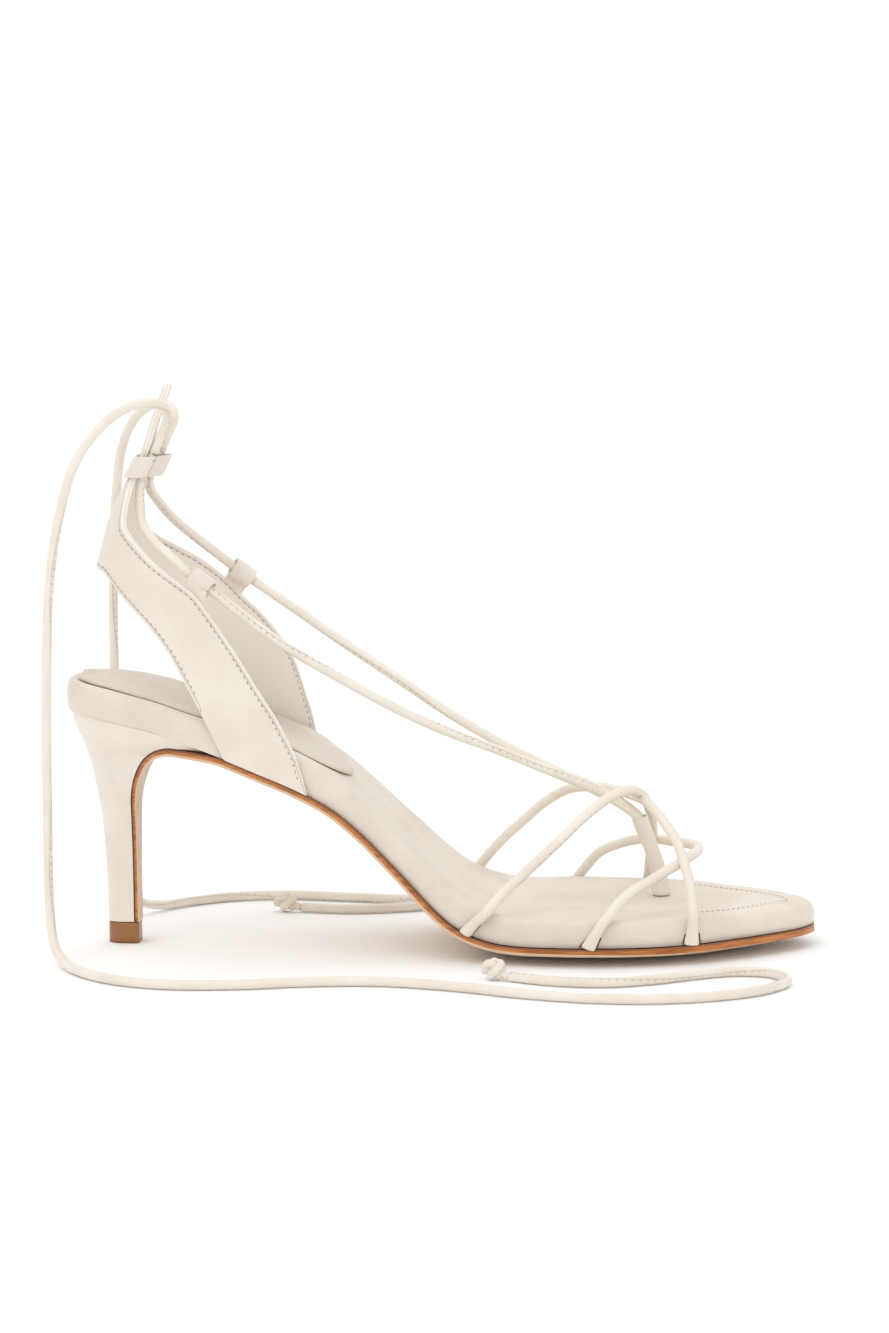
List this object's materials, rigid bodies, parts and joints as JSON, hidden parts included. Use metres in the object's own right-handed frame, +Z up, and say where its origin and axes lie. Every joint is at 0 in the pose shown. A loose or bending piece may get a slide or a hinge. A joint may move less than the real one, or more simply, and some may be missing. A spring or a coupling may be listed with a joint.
{
  "type": "lace up heeled sandal",
  "caption": "Right lace up heeled sandal in cream leather, with rolled cord straps, a toe post, a heel band with keepers, round ties and a slim covered heel.",
  "frame": {"origin": "on the floor, in the middle of the shoe's base box, measured without the free ties and their knots", "axes": "+X from the heel to the toe, +Y towards the inner side of the foot, +Z up from the floor"},
  "size_m": [0.243, 0.18, 0.1797],
  "materials": {
    "outsole": "smooth natural leather with a brown edge",
    "heel": "smooth matte",
    "top_piece": "semi gloss",
    "footbed": "smooth matte, padded",
    "heel_sock": "smooth matte",
    "vamp_straps": "rolled, stitched, matte",
    "toe_post": "smooth matte",
    "heel_band": "smooth matte, stitched edges",
    "side_keeper_outer": "smooth matte",
    "side_keeper_inner": "smooth matte",
    "back_keeper": "smooth matte",
    "lace": "rolled, stitched, matte",
    "tie_outer": "rolled, stitched, matte",
    "tie_inner": "rolled, stitched, matte",
    "tie_knot_outer": "rolled, stitched, matte",
    "tie_knot_inner": "rolled, stitched, matte"
  },
  "bodies": {
    "root": {"outsole": "outsole", "heel": "heel", "top_piece": "top_piece", "footbed": "footbed", "heel_sock": "heel_sock", "vamp_straps": "vamp_straps", "toe_post": "toe_post", "heel_band": "heel_band", "side_keeper_outer": "side_keeper_outer", "side_keeper_inner": "side_keeper_inner", "back_keeper": "back_keeper", "lace": "lace", "tie_outer": "tie_outer", "tie_inner": "tie_inner", "tie_knot_outer": "tie_knot_outer", "tie_knot_inner": "tie_knot_inner"}
  },
  "joints": []
}
